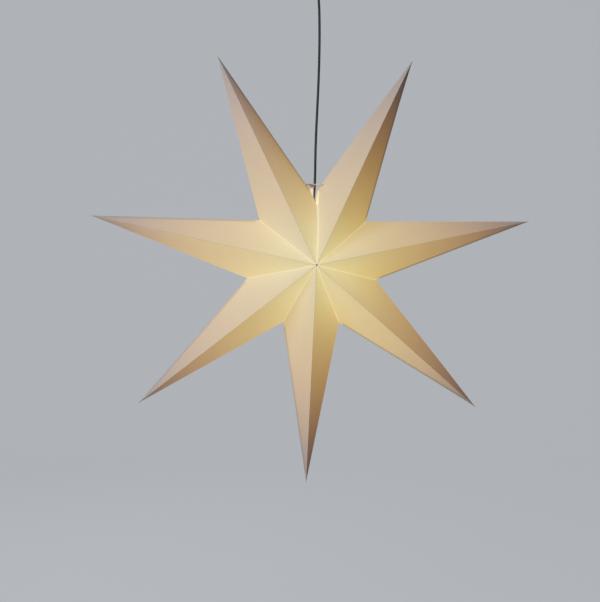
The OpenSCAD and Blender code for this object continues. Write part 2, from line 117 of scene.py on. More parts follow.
def smooth_line(points, steps):
    """A curve through all the points: between two of them it is the cubic whose slope at each
    point is half the step from the point before to the point after."""
    p = np.asarray(points, float)
    p = np.vstack([2 * p[0] - p[1], p, 2 * p[-1] - p[-2]])
    a, b, c, d = (p[k:len(p) - 3 + k, None] for k in range(4))
    t = (np.arange(steps) / steps)[None, :, None]
    line = 0.5 * (2 * b + (c - a) * t + (2 * a - 5 * b + 4 * c - d) * t ** 2
                  + (3 * b - a - 3 * c + d) * t ** 3)
    return np.vstack([line.reshape(-1, p.shape[1]), p[-2]])


def ring_skin(rings, closed=False):
    """Quads between neighbouring rings of points, each of which runs once round a profile. An
    open row of rings is closed by a fan at each end, a closed row joins its last to its first."""
    count, total = rings.shape[:2]
    c = np.arange(total)
    n = (c + 1) % total
    spans = np.arange(count if closed else count - 1)
    r = spans[:, None] * total
    q = ((spans + 1) % count)[:, None] * total
    faces = np.stack([c + r, n + r, n + q, c + q], -1).reshape(-1, 4).tolist()
    points = rings.reshape(-1, 3)
    if not closed:
        points = np.concatenate([points, rings[:1].mean(1), rings[-1:].mean(1)])
        first, last = len(points) - 2, (count - 1) * total
        faces += np.stack([np.full(total, first), n, c], -1).tolist()
        faces += np.stack([np.full(total, first + 1), c + last, n + last], -1).tolist()
    return points, faces


def swept_rings(path, sizes, hint, closed=False):
    """A profile carried along a path: each ring stands across the path's direction, starts in
    the direction that is square to both the path and the hint, and has the given radii."""
    if closed:
        way = np.roll(path, -1, axis=0) - np.roll(path, 1, axis=0)
    else:
        way = np.gradient(path, axis=0)
    way = way / np.linalg.norm(way, axis=1)[:, None]
    side = np.cross(way, hint)
    side /= np.linalg.norm(side, axis=1)[:, None]
    up = np.cross(side, way)
    a = np.arange(sizes.shape[1]) / sizes.shape[1] * 2 * np.pi
    across = np.cos(a)[None, :, None] * side[:, None] + np.sin(a)[None, :, None] * up[:, None]
    return path[:, None] + sizes[..., None] * across


def new_piece(name, points, faces, uvs=None, creased=40):
    """A mesh object from an array of points and a list of faces, with UV maps per corner, its
    faces outwards, and its edges sharp where two faces meet at more than an angle."""
    mesh = bpy.data.meshes.new(name)
    mesh.from_pydata(np.asarray(points, float).tolist(), [], faces)
    for title, corners in (uvs or {}).items():
        layer = mesh.uv_layers.new(name=title)
        layer.data.foreach_set("uv", np.asarray(corners, np.float32).ravel())
    work = bmesh.new()
    work.from_mesh(mesh)
    if work.calc_volume(signed=True) < 0:
        bmesh.ops.reverse_faces(work, faces=work.faces)
        work.to_mesh(mesh)
    work.free()
    piece = bpy.data.objects.new(name, mesh)
    bpy.context.collection.objects.link(piece)
    crease(piece, creased)
    return piece


def crease(piece, angle):
    """Smooth shading, with a sharp edge where two faces meet at more than the angle."""
    mesh = piece.data
    mesh.polygons.foreach_set("use_smooth", np.full(len(mesh.polygons), True))
    mesh.set_sharp_from_angle(angle=math.radians(angle))


def put_in(piece, slot, *nodes):
    """A finished piece: it rides on the one body and stands for its CAD nodes."""
    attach(piece, "root")
    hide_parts(*nodes)
    return piece


def hang_cord(line):
    """The black cable, from inside the nipple up to inside the ceiling cup: a circle carried
    along the smooth line through the route's points."""
    sides = 28
    rings = swept_rings(line, np.full((len(line), sides), CORD_DIAMETER / 2), (0, 1, 0))
    return put_in(new_piece("power_cable", *ring_skin(rings)), "cord_black", "power_cord")


set_camera()
cord_line = smooth_line([(x * MM, 0, z * MM) for x, z in CORD_ROUTE], 4)
cable = hang_cord(cord_line)


# Node trees in plain words

class Wire:
    """One socket of a node tree. Arithmetic on it adds Math nodes."""

    def __init__(self, finish, socket):
        self.finish = finish
        self.socket = socket

    def maths(self, operation, *others):
        """The result of one operation on this value and others."""
        values = dict(enumerate((self,) + others))
        return self.finish.add("ShaderNodeMath", {"operation": operation}, values)

    def __add__(self, other):
        return self.maths("ADD", other)

    def __sub__(self, other):
        return self.maths("SUBTRACT", other)

    def __mul__(self, other):
        return self.maths("MULTIPLY", other)

    def __truediv__(self, other):
        return self.maths("DIVIDE", other)

    def __pow__(self, other):
        return self.maths("POWER", other)

    def __rsub__(self, other):
        return self.finish.add("ShaderNodeMath", {"operation": "SUBTRACT"}, {0: other, 1: self})

    __radd__ = __add__
    __rmul__ = __mul__

    def within(self, low, high):
        """0 where the value is low or less, 1 where it is high or more, smooth in between."""
        return self.finish.add("ShaderNodeMapRange", {"interpolation_type": "SMOOTHSTEP"},
                               {"Value": self, "From Min": low, "From Max": high})


class Finish:
    """The node tree of one material, with one method that adds any node."""

    def __init__(self, name):
        self.material = bpy.data.materials.new(name)
        self.material.use_nodes = True
        self.tree = self.material.node_tree
        self.tree.nodes.clear()

    def add(self, kind, settings=None, sockets=None, output=0):
        """A new node with its settings, and its sockets linked to wires or set to values."""
        node = self.tree.nodes.new(kind)
        for key, value in (settings or {}).items():
            if key == "stops":
                ramp = node.color_ramp
                while len(ramp.elements) < len(value):
                    ramp.elements.new(1.0)
                for stop, (place, colour) in zip(ramp.elements, value):
                    stop.position = place
                    stop.color = tuple(colour) + (1,)
            else:
                setattr(node, key, value)
        for key, value in (sockets or {}).items():
            if isinstance(value, Wire):
                self.tree.links.new(value.socket, node.inputs[key])
            elif node.inputs[key].type == "RGBA":
                node.inputs[key].default_value = value + (1,)
            else:
                node.inputs[key].default_value = value
        return Wire(self, node.outputs[output]) if len(node.outputs) else node

    def place(self):
        """Object coordinates, which are those of the whole part."""
        return self.add("ShaderNodeTexCoord", output="Object")

    def split(self, vector):
        """The three numbers of a vector."""
        first = self.add("ShaderNodeSeparateXYZ", {}, {0: vector})
        return [Wire(self, socket) for socket in first.socket.node.outputs]

    def noise(self, scale, detail=3.0, roughness=0.5, vector=None):
        """A value that wanders evenly between about 0 and 1."""
        return self.add("ShaderNodeTexNoise", {},
                        {"Vector": vector or self.place(), "Scale": scale, "Detail": detail,
                         "Roughness": roughness})

    def blend(self, factor, low, high, kind="MIX"):
        """A colour between two colours."""
        return self.add("ShaderNodeMix", {"data_type": "RGBA", "blend_type": kind},
                        {0: factor, 6: low, 7: high}, output=2)

    def bump(self, height, distance, strength=1.0):
        """A surface direction that follows a height."""
        return self.add("ShaderNodeBump", {},
                        {"Height": height, "Distance": distance, "Strength": strength})

    def close(self, **sockets):
        """The surface itself, with its sockets named with underscores for spaces."""
        sockets = {key.replace("_", " "): value for key, value in sockets.items()}
        surface = self.add("ShaderNodeBsdfPrincipled", {}, sockets)
        self.add("ShaderNodeOutputMaterial", {}, {"Surface": surface})
        return self.material


# Finishes

# The light that comes through the paper, painted on it as its own glow, by the share of the way
# from the middle to the tips
GLOW_STOPS = [
    (0.00, (0.67, 0.518, 0.19)), (0.174, (0.615, 0.462, 0.150)), (0.23, (0.595, 0.423, 0.119)),
    (0.314, (0.562, 0.370, 0.097)), (0.398, (0.526, 0.325, 0.078)),
    (0.484, (0.488, 0.285, 0.062)), (0.57, (0.437, 0.240, 0.052)),
    (0.656, (0.384, 0.196, 0.042)), (0.742, (0.318, 0.148, 0.030)),
    (0.828, (0.240, 0.098, 0.018)), (0.896, (0.182, 0.070, 0.016)),
    (0.948, (0.125, 0.048, 0.014)), (1.00, (0.065, 0.028, 0.010))]
MIDDLE_SHARE = 0.75
PALE_GLOW = (0.72, 0.63, 0.42)
# Where the line along each fold starts to fade and where it is gone
RIDGE_LINE = (0.4 * MM, 1.6 * MM)
VALLEY_LINE = (0.6 * MM, 2.2 * MM)
SIDE_LINE = (0.4 * MM, 1.4 * MM)
# The bright top seam: its half width at the middle and for each metre up, the height over which
# it comes up, and how far to the sides it reaches
SEAM_START = 0.6 * MM
SEAM_SPREAD = 0.04
SEAM_RISE = (10 * MM, 50 * MM)
SEAM_REACH = (18 * MM, 20 * MM)
# The inner side of the apex, where shade is painted: dark within the first distance and not beyond
# the second
APEX_SHADE = (22 * MM, 45 * MM)


def paper_finish():
    """Thin cream paper, lit from inside: that light is painted on the paper as its own glow. The
    glow falls off with the distance from the bulb, is browner on the walls that show less of it,
    and is weaker through the two layers of the closing tab, weaker on the ridges and a little
    brighter along the side edges and the valley folds, most of all at the top seam, which the slot
    pulls open. On the inner side of the apex, shade is painted: the glow is taken away there and
    the colour made dark."""
    f = Finish("star_paper")
    x, _, z = f.split(f.place())
    z = z - float(STAR_MIDDLE[2])
    reach = (x * x + z * z) ** 0.5
    ridge, valley, _ = f.split(f.add("ShaderNodeUVMap", {"uv_map": "folds"}))
    side, tab, _ = f.split(f.add("ShaderNodeUVMap", {"uv_map": "sides"}))
    share, inside, _ = f.split(f.add("ShaderNodeUVMap", {"uv_map": "light"}))

    cloud = f.noise(9, 3, 0.55)
    ripple = f.noise(34, 2, 0.5)
    fibre = f.noise(420, 4, 0.62)
    speck = f.noise(1500, 2, 0.5)

    tab_edge, tab_end = 0.6 * MM, STAR_RADIUS - TAB_STOP
    on_tab = tab * (1 - side.within(TAB_WIDTH - tab_edge, TAB_WIDTH + tab_edge)) \
        * valley.within(TAB_START - 1.5 * MM, TAB_START) \
        * (1 - reach.within(tab_end - 2 * MM, tab_end + 1 * MM))
    on_ridge = 1 - ridge.within(*RIDGE_LINE)
    on_valley = 1 - valley.within(*VALLEY_LINE)
    on_side = (1 - side.within(*SIDE_LINE)) * (1 - tab)
    from_seam = (valley + 5 * MM * tab) / (z * SEAM_SPREAD + SEAM_START)
    on_seam = (1 - from_seam.within(0.8, 1.1)) * z.within(*SEAM_RISE) \
        * (1 - x.maths("ABSOLUTE").within(*SEAM_REACH))
    # Painted shade on the inner side of the apex: it takes away the glow there and darkens the
    # colour
    apex_shade = inside * (1 - reach.within(*APEX_SHADE))

    level = share
    for grain, spread in ((cloud, 0.09), (ripple, 0.06), (fibre, 0.07)):
        level = level * (1 - spread / 2 + spread * grain)
    for place, gain in ((on_tab, -0.48), (on_ridge, -0.26), (on_valley, 0.10), (on_side, 0.18),
                        (inside, 0.25), (on_seam, 0.14), (apex_shade, -0.93)):
        level = level * (1 + gain * place)
    bright = share - MIDDLE_SHARE
    tint = f.add("ShaderNodeCombineXYZ", {}, {"X": 1 - 0.16 * bright, "Y": 1 + 0.36 * bright,
                                              "Z": 1 + 1.75 * bright})
    glow = f.add("ShaderNodeValToRGB", {"stops": GLOW_STOPS}, {0: reach * (1 / STAR_RADIUS)})
    glow = f.add("ShaderNodeVectorMath", {"operation": "MULTIPLY"}, {0: glow, 1: tint})
    glow = f.blend(0.5 * inside + 0.5 * on_seam + 0.35 * on_valley, glow, PALE_GLOW)
    shine = f.add("ShaderNodeVectorMath", {"operation": "SCALE"}, {0: glow, "Scale": level})

    colour = f.blend(0.3 * cloud + 0.5 * fibre, (0.475, 0.455, 0.43), (0.525, 0.512, 0.50))
    colour = f.blend(speck.within(0.66, 0.8) * 0.25, colour, (0.36, 0.31, 0.26))
    # Painted shade: the inner side of the apex is coloured almost black
    colour = f.blend(0.9 * apex_shade, colour, (0.06, 0.03, 0.02))
    height = fibre + 0.5 * speck + 5 * ripple
    return f.close(Base_Color=colour, Roughness=0.78 + 0.12 * fibre, Emission_Color=shine,
                   Emission_Strength=1.0, Normal=f.bump(height, 0.00008, 0.6),
                   Specular_IOR_Level=0.25)


def cable_finish():
    """Black cable sheath: satin, with the faint long marks of its extrusion."""
    f = Finish("cable_sheath")
    long_marks = f.add("ShaderNodeMapping", {}, {"Vector": f.place(), "Scale": (1, 1, 0.03)})
    marks = f.noise(900, 3, 0.5, long_marks)
    grain = f.noise(1400, 3, 0.6)
    colour = f.blend(grain, (0.010, 0.010, 0.011), (0.026, 0.025, 0.026))
    return f.close(Base_Color=colour, Roughness=0.5 + 0.12 * grain,
                   Normal=f.bump(marks + 0.3 * grain, 0.00005, 0.3))


def plastic_finish(name, dark, pale, roughness):
    """Moulded plastic: a fine even grain and a slight change of colour."""
    f = Finish(name)
    grain = f.noise(1800, 3, 0.6)
    cloud = f.noise(45, 3, 0.5)
    colour = f.blend(0.6 * cloud + 0.4 * grain, dark, pale)
    return f.close(Base_Color=colour, Roughness=roughness + 0.12 * cloud,
                   Normal=f.bump(grain, 0.00006, 0.5))


def metal_finish(name, dark, pale, roughness, stretch):
    """Turned or drawn metal: fine marks along one direction, and dull patches."""
    f = Finish(name)
    along = f.add("ShaderNodeMapping", {}, {"Vector": f.place(), "Scale": stretch})
    marks = f.noise(2200, 3, 0.6, along)
    patch = f.noise(120, 4, 0.6)
    colour = f.blend(0.5 * marks + 0.5 * patch, dark, pale)
    return f.close(Base_Color=colour, Metallic=1.0, Roughness=roughness + 0.2 * patch,
                   Normal=f.bump(marks, 0.00004, 0.5))


# Heights at which the bulb's glass ends and its metal base begins
GLASS_TOP = -617 * MM
BASE_BOTTOM = -616 * MM


def opal_finish():
    """The bulb with its lamp on: opal glass, warm white and bright, below its metal base, which
    has the thread of the holder."""
    f = Finish("opal_glass")
    _, _, z = f.split(f.place())
    cloud = f.noise(60, 3, 0.5)
    on_glass = 1 - z.within(GLASS_TOP - 2 * MM, GLASS_TOP)
    glow = f.blend(on_glass * (0.9 + 0.1 * cloud), (0.02, 0.018, 0.015), (1.0, 0.83, 0.55))
    metal = z.within(BASE_BOTTOM, BASE_BOTTOM + 0.5 * MM)
    colour = f.blend(metal, (0.86, 0.84, 0.78), (0.62, 0.60, 0.55))
    thread = f.add("ShaderNodeTexWave", {"bands_direction": "Z"},
                   {"Vector": f.place(), "Scale": 45.0, "Distortion": 0.0})
    return f.close(Base_Color=colour, Metallic=metal, Roughness=0.25 + 0.15 * cloud,
                   Emission_Color=glow, Emission_Strength=2.0,
                   Normal=f.bump(thread * metal, 0.0012, 0.8))


def string_finish():
    """Natural two-ply string: straw fibres along each ply, with shade painted darker in the
    grooves, and a warm brown shade painted where it is knotted and where it comes out of the left
    hole."""
    f = Finish("natural_string")
    # The twist map holds the lobe's height and how much painted shade, a warm brown, lies on the
    # string
    lobe, painted_shade, _ = f.split(f.add("ShaderNodeUVMap", {"uv_map": "twist"}))
    fibre = f.noise(2600, 4, 0.7)
    patch = f.noise(260, 3, 0.5)
    # Painted shade: the pale string is darker in the grooves between the plies and lighter on the
    # lobes
    pale = f.blend(lobe.within(0.05, 0.5), (0.64, 0.53, 0.38), (0.94, 0.87, 0.72))
    pale = f.blend(0.3 * patch, pale, (0.74, 0.60, 0.42))
    pale = f.blend(fibre.within(0.55, 0.8) * 0.5, pale, (0.90, 0.84, 0.72))
    # The painted brown shade, darker still in the grooves between the plies
    brown = f.blend(lobe.within(0.1, 0.7), (0.16, 0.075, 0.035), (0.50, 0.29, 0.16))
    brown = f.blend(fibre.within(0.55, 0.8) * 0.5, brown, (0.66, 0.54, 0.44))
    colour = f.blend(painted_shade, pale, brown)
    return f.close(Base_Color=colour, Roughness=0.9, Normal=f.bump(fibre, 0.0003, 0.8))


def finish_all():
    """Every finish by the record's slot name."""
    return {
        "paper": paper_finish(),
        "string": string_finish(),
        "opal_glass": opal_finish(),
        "black_plastic": plastic_finish("black_plastic", (0.012, 0.012, 0.013),
                                        (0.030, 0.029, 0.030), 0.34),
        "insert_ceramic": plastic_finish("insert_ceramic", (0.62, 0.60, 0.55),
                                         (0.74, 0.72, 0.68), 0.5),
        "brass": metal_finish("brass", (0.55, 0.40, 0.17), (0.76, 0.60, 0.30), 0.28,
                              (1, 1, 0.1)),
        "steel": metal_finish("zinc_steel", (0.42, 0.43, 0.45), (0.60, 0.61, 0.62), 0.3,
                              (0.1, 1, 1)),
        "bracket_steel": metal_finish("bracket_steel", (0.40, 0.41, 0.43), (0.58, 0.59, 0.60),
                                      0.36, (0.1, 1, 1)),
        "wire_sheath": plastic_finish("wire_sheath", (0.16, 0.07, 0.03), (0.24, 0.11, 0.05), 0.45),
        "cord_black": cable_finish(),
        "white_plastic": plastic_finish("white_plastic", (0.66, 0.66, 0.63), (0.76, 0.76, 0.74),
                                        0.4),
    }


FINISHES = finish_all()


def dress(piece, finish):
    """Gives a piece one finish, in place of whatever it had."""
    piece.data.materials.clear()
    piece.data.materials.append(FINISHES[finish])
    piece.data.polygons.foreach_set("material_index", np.zeros(len(piece.data.polygons), int))


dress(cable, "cord_black")


# The folded sheets

def cut_away(piece, cutters):
    """The piece less the cutters, with its UV maps kept."""
    for cutter in cutters:
        step = piece.modifiers.new("cut", "BOOLEAN")
        step.operation = "DIFFERENCE"
        step.solver = "EXACT"
        step.object = cutter
    cut = bpy.data.meshes.new_from_object(
        piece.evaluated_get(bpy.context.evaluated_depsgraph_get()))
    piece.modifiers.clear()
    piece.data = cut


# Shares of the way from the apex to the notch, and how many millimetres the seam is pulled there
SEAM_PULL = [(0, 0), (0.3, 4.0), (0.57, 6.6), (0.86, 7.0), (0.91, 3.2), (0.96, 1.0), (1, 0)]


def seam_shift(u):
    """How far the front seam between the two top points lies to the right of the middle, by its
    share of the way from the apex to the notch: the tension of the cord slot has pulled it."""
    shares, pulls = np.array(SEAM_PULL).T
    return np.interp(u, shares, pulls * MM)


def wall_corners(i):
    """Front apex, counter-clockwise notch, back apex, clockwise notch and tip of one point, and
    the direction in which it points."""
    heading = math.pi / 2 - SECTOR - 2 * SECTOR * i
    lean = math.radians(TIP_LEANS[i])

    def at(angle, radius, shift=(0, 0)):
        return np.array([radius * math.cos(angle) + shift[0], 0,
                         radius * math.sin(angle) + shift[1]])

    return (np.array([0, -HALF_DEPTH, 0]),
            at(heading + SECTOR, NOTCH_RADIUS, NOTCH_SHIFTS[i]), np.array([0, HALF_DEPTH, 0]),
            at(heading - SECTOR, NOTCH_RADIUS, NOTCH_SHIFTS[(i + 1) % 7]),
            at(heading - lean, STAR_RADIUS), heading)


def tip_bend(i, share):
    """The end of a point is bent by its own amount times the fourth power of the share."""
    return np.array([TIP_BENDS[i][0], 0, TIP_BENDS[i][1]]) * share ** 4


def line_distance(points, a, b):
    """Distance of points from the line through a and b."""
    along = (b - a) / np.linalg.norm(b - a)
    off = points - a
    return np.linalg.norm(off - (off @ along)[..., None] * along, axis=-1)


# Shares of a wall's width from its ridge to its side edge, and of its length from valley to tip
ACROSS = np.array([0, 0.005, 0.0105, 0.03, 0.07, 0.13, 0.21, 0.3, 0.4, 0.5, 0.6, 0.7, 0.8, 0.88,
                   0.94, 0.98, 1])
ALONG = np.concatenate([[0, 0.004, 0.012, 0.03, 0.06], np.linspace(0.1, 0.9, 21),
                        [0.93, 0.955, 0.973, 0.985, 0.993, 1]])
# The width that is left at the very tip, as a share of the base
BLUNT_SHARE = 0.008


def fold_grid(i):
    """The outer side of one folded point as a grid of rows from valley to tip and columns round
    its four walls: each row is the base outline shrunk towards the tip, where it stays a little
    blunt, and each wall bows in or out between its folds. The plain walls, before the seam is
    pulled and the bow is added, serve to measure from folds."""
    *corners, tip, heading = wall_corners(i)
    tip = tip * (1 + TIP_OVERRUN / STAR_RADIUS)
    s = ALONG[:, None, None]
    width = ((1 - s) ** 3 + BLUNT_SHARE ** 3) ** (1 / 3)
    walls, plain, ends = [], [], []
    for k in range(4):
        a, b = corners[k], corners[(k + 1) % 4]
        from_ridge = k % 2 == 0
        share = ACROSS if from_ridge else 1 - ACROSS[::-1]
        base = a + share[:, None] * (b - a)
        plain.append(base[None] * width + tip * s + tip_bend(i, s))
        if (i, k) == (0, 0):
            base[:, 0] += seam_shift(share)
        if (i, k) == (6, 3):
            base[:, 0] += seam_shift(1 - share)
        normal = np.cross(b - a, tip - a)
        normal /= np.linalg.norm(normal)
        if normal @ (a + b) < 0:
            normal = -normal
        bow = WALL_BOW * math.cos(2.4 * i + 1.7 * k)
        lift = bow * np.sin(np.pi * share)[None, :, None] * np.sin(np.pi * s) ** 0.7
        walls.append(base[None] * width + tip * s + tip_bend(i, s) + lift * normal)
        ends.append((a, b, from_ridge))
    return walls, plain, ends, tip, heading


def open_apex(points, heading):
    """Where all the valleys meet, the paper keeps away from the star's axis."""
    reach = np.hypot(points[..., 0], points[..., 2])
    near = reach < APEX_GAP
    still = reach < 0.01 * MM
    way = np.where(still[..., None], [math.cos(heading), math.sin(heading)],
                   points[..., [0, 2]] / np.maximum(reach, 1e-9)[..., None])
    points[..., 0] = np.where(near, way[..., 0] * APEX_GAP, points[..., 0])
    points[..., 2] = np.where(near, way[..., 1] * APEX_GAP, points[..., 2])
    return points


def glow_share(turn, points):
    """How much of the painted glow shows at points of a wall, by the direction in which it leans
    sideways: most on walls that look up or down. It falls off along the walls that look right, and
    grows a little downwards, because the bulb hangs from the top."""
    out = np.hypot(points[..., 0], points[..., 2]) / STAR_RADIUS - 0.5
    level = MIDDLE_SHARE + 0.154 * math.cos(2 * (turn - math.radians(80))) - 0.099 * math.sin(turn)
    fall = (0.40 * math.cos(turn - math.radians(14))
            + 0.26 * math.cos(2 * (turn + math.radians(6.5))))
    return level - fall * out - (0.03 * points[..., 0] + 0.12 * points[..., 2]) / STAR_RADIUS


def folded_sheet(i):
    """One sheet as a closed skin: from the tip down the outer walls, in along the glue strips,
    back by the thickness of the paper, and up the inner walls to the inner tip. The inner
    walls are the outer ones drawn in towards the middle of the star."""
    walls, plain, ends, tip, heading = fold_grid(i)
    shrink = 1 - PAPER / WALL_DISTANCE
    axis = np.array([math.cos(heading), 0, math.sin(heading)])
    across = np.array([-math.sin(heading), 0, math.cos(heading)])
    all_rows, all_data = [], []
    for k in range(4):
        a, b, from_ridge = ends[k]
        outer = walls[k]
        ridge_end, side_end = (a, b) if from_ridge else (b, a)
        base = outer[0]
        upper_half = k < 2
        normal = axis * math.sin(SECTOR) + across * math.cos(SECTOR) * (-1 if upper_half else 1)
        step = np.repeat(normal[None] * PAPER, len(ACROSS), axis=0)
        corner = 0 if from_ridge else -1
        step[corner] = axis * PAPER / math.sin(SECTOR)
        inner = outer * shrink
        rows = np.concatenate([outer[::-1], (base * STRIP_SHARE)[None],
                               (base * STRIP_SHARE + step)[None],
                               (base * shrink + step)[None], inner[1:]])
        flat = np.concatenate([plain[k][::-1], np.repeat(plain[k][:1], 3, axis=0),
                               plain[k][1:]])
        share = glow_share(heading + (WALL_TURN if upper_half else -WALL_TURN), flat)
        data = {
            "folds": np.stack([line_distance(flat, ridge_end, tip),
                               line_distance(flat, ridge_end, side_end)], -1),
            "sides": np.stack([line_distance(flat, side_end, tip),
                               np.full(flat.shape[:2], 1.0 if k == 3 else 0.0)], -1),
        }
        inside = np.concatenate([np.zeros(len(ALONG)), np.ones(2 + len(ALONG))])
        data["light"] = np.stack([share, np.repeat(inside[:, None], flat.shape[1], axis=1)],
                                 -1)
        all_rows.append(open_apex(rows, heading))
        all_data.append(data)

    count = len(ACROSS) - 1
    rows = len(all_rows[0])
    ring = np.concatenate([w[:, :-1] for w in all_rows], axis=1)
    points = np.concatenate([ring.reshape(-1, 3), ring[0].mean(0)[None], ring[-1].mean(0)[None]])
    total = 4 * count
    faces, uvs = [], {"folds": [], "sides": [], "light": []}
    for k in range(4):
        c = np.arange(count) + k * count
        n = (c + 1) % total
        r = np.arange(rows - 1)[:, None] * total
        quads = np.stack([c + r, c + r + total, n + r + total, n + r], -1).reshape(-1, 4)
        start = np.stack([np.full(count, len(points) - 2), c, n], -1)
        last = (rows - 1) * total
        end = np.stack([np.full(count, len(points) - 1), n + last, c + last], -1)
        faces += quads.tolist() + start.tolist() + end.tolist()
        for title, d in all_data[k].items():
            q = np.stack([d[:-1, :-1], d[1:, :-1], d[1:, 1:], d[:-1, 1:]], 2).reshape(-1, 2)
            first = np.stack([d[0, :-1], d[0, :-1], d[0, 1:]], 1).reshape(-1, 2)
            final = np.stack([d[-1, 1:], d[-1, 1:], d[-1, :-1]], 1).reshape(-1, 2)
            uvs[title].append(np.concatenate([q, first, final]))
    points = points + STAR_MIDDLE
    return points, faces, {t: np.concatenate(u) for t, u in uvs.items()}


# A distance that is away from every fold's line, in the UV maps of plain paper
FAR = 20 * MM


def even_uvs(faces, ridge, valley, share):
    """UV maps of a plain strip of inner paper, the same at every corner of its faces: its
    distances from a ridge and a valley, far from a side edge, and its share of the glow."""
    corners = sum(map(len, faces))
    return {"folds": np.tile([ridge, valley], (corners, 1)),
            "sides": np.tile([FAR, 0.0], (corners, 1)),
            "light": np.tile([share, 1.0], (corners, 1))}


def loose_strip(name, front, thickness, share):
    """A strip of paper from a grid of points on its front: the back is the same grid moved by
    the thickness, and each ring runs along a row of the front and home along the back."""
    points, faces = ring_skin(np.concatenate([front, (front + thickness)[:, ::-1]], axis=1))
    return new_piece(name, points + STAR_MIDDLE, faces, even_uvs(faces, FAR, FAR, share))


def closing_tab(i):
    """The tab glued inside the front half along the clockwise side edge: a strip of the wall's
    plane, drawn in towards the middle by a little more than one thickness and than two."""
    front, _, _, lower, tip, _ = wall_corners(i)
    length = np.linalg.norm(tip - lower)
    along = (tip - lower) / length
    inward = front - lower
    inward = inward - (inward @ along) * along
    inward /= np.linalg.norm(inward)
    a = np.linspace(TAB_START, length - TAB_STOP, 25)[:, None, None]
    w = np.linspace(0.5 * MM, TAB_WIDTH, 4)[None, :, None]
    face = lower + a * along + w * inward + tip_bend(i, a / length)
    thin = PAPER / WALL_DISTANCE
    return loose_strip("closing_tab", face * (1 - 1.15 * thin), -thin * face, TAB_SHARE)


# The shares of the glow that the closing tabs and cut edges, the flap and the lip have
TAB_SHARE = 0.85
FLAP_SHARE = 0.62
LIP_SHARE = 0.68
# How far forward the wall right of the front seam runs for each millimetre to the right
WALL_SLOPE = 1.271
# Rows down the flap of the left sheet: height, then x and y at the slot's edge and at its free
# edge. Rows down the lip of the right sheet: height, then x at the slot's edge and at its far
# edge. All in millimetres from the middle of the star.
FLAP_ROWS = [(168.2, -5.9, -2.8, -1.1, -3.5), (166.0, -7.6, -1.7, -1.05, -3.5),
             (163.7, -9.2, -0.3, -1.0, -3.5), (157.0, -6.1, -2.2, -0.85, -3.5),
             (149.0, -2.5, -5.0, -0.7, -3.8), (143.0, 0.3, -9.0, 1.37, -6.6),
             (137.7, 2.8, -12.6, 3.3, -10.6)]
LIP_ROWS = [(163.7, 9.7, 11.8), (157.0, 8.6, 11.6), (150.0, 7.5, 11.5), (144.0, 6.0, 11.4),
            (137.7, 4.6, 11.1), (134.0, 5.5, 10.3), (131.0, 7.2, 9.7), (129.8, 8.1, 8.9)]


def slot_flap():
    """The left sheet's glue strip, freed by the slot, leans in before the cord: straight from
    the slot's edge to its free edge, swollen forwards by half a sine."""
    rows = smooth_line(FLAP_ROWS, 4)[:, None, :] * MM
    w = np.linspace(0, 1, 7)[None, :]
    x = rows[..., 1] * (1 - w) + rows[..., 3] * w
    y = rows[..., 2] * (1 - w) + rows[..., 4] * w - 0.5 * MM * np.sin(np.pi * w)
    front = np.stack([x, y, rows[..., 0] + 0 * w], -1)
    return loose_strip("slot_flap", front, np.array([0, PAPER, 0]), FLAP_SHARE)


def slot_lip():
    """The right sheet's edge of the slot, curled outwards onto its front wall: it leaves the
    paper at the slot, swells forwards by a flattened half sine and comes back to the wall."""
    rows = smooth_line(LIP_ROWS, 4)[:, None, :] * MM
    w = np.linspace(0, 1, 9)[None, :]
    x = rows[..., 1] * (1 - w) + rows[..., 2] * w
    z = rows[..., 0] + 0 * w
    seam = seam_shift(z / NOTCH_RADIUS)
    wall = -HALF_DEPTH * (1 - z / NOTCH_RADIUS) - WALL_SLOPE * (x - seam)
    y = wall + 0.2 * MM - 0.4 * MM * w - 1.2 * MM * np.sin(np.pi * w) ** 0.7
    return loose_strip("slot_lip", np.stack([x, y, z], -1), np.array([0, 0.9 * PAPER, 0]),
                       LIP_SHARE)


def prism(outline, low, high, axis):
    """A closed outline of two coordinates, pushed along the third from low to high."""
    n = len(outline)
    order = {"y": (0, 2, 1), "z": (0, 1, 2)}[axis]
    ends = [np.column_stack([outline, np.full(n, level)])[:, order] for level in (low, high)]
    faces = [list(range(n - 1, -1, -1)), list(range(n, 2 * n))]
    faces += [[k, (k + 1) % n, (k + 1) % n + n, k + n] for k in range(n)]
    return new_piece("cutter", np.concatenate(ends) + STAR_MIDDLE, faces,
                     even_uvs(faces, FAR, 0.0, TAB_SHARE))


def circle(x, z, radius):
    """A round outline of 24 points."""
    a = np.arange(24) / 24 * 2 * np.pi
    return np.column_stack([x + radius * np.cos(a), z + radius * np.sin(a)])


# The cord slot: its V, before the cord and behind it, in millimetres right of the star's middle
# and over it, and the round passage of the nipple
FRONT_V = np.array([(4, 135.5), (5, 135.5), (8.5, 163), (-8.5, 163)]) * MM
BACK_V = np.array([(4, 135.5), (5, 135.5), (8.5, 163), (0, 163)]) * MM
PASSAGE_RADIUS = 4.9 * MM
PASSAGE_BOTTOM = 135.9 * MM


def slot_cutters():
    """The V of the cord slot before and behind the cord, which pass each other a little at the
    cord, the round passage of the nipple and the two holes of the string."""
    lap, above, hole_depth = 0.01 * MM, 400 * MM, 8 * MM
    holes = [circle(x, STRING_HEIGHT, HOLE_RADIUS) for x in (STRING_RIGHT, STRING_LEFT)]
    return [prism(FRONT_V, -HALF_DEPTH, lap, "y"),
            prism(BACK_V, -lap, HALF_DEPTH, "y"),
            prism(circle(0, 0, PASSAGE_RADIUS), PASSAGE_BOTTOM, above, "z"),
            *[prism(hole, -hole_depth, hole_depth, "y") for hole in holes]]


def join_parts(piece, others):
    """The piece, with the meshes of the other objects added to its own."""
    work = bmesh.new()
    work.from_mesh(piece.data)
    for other in others:
        work.from_mesh(other.data)
        bpy.data.objects.remove(other)
    work.to_mesh(piece.data)
    work.free()
    crease(piece, 20)
    return piece


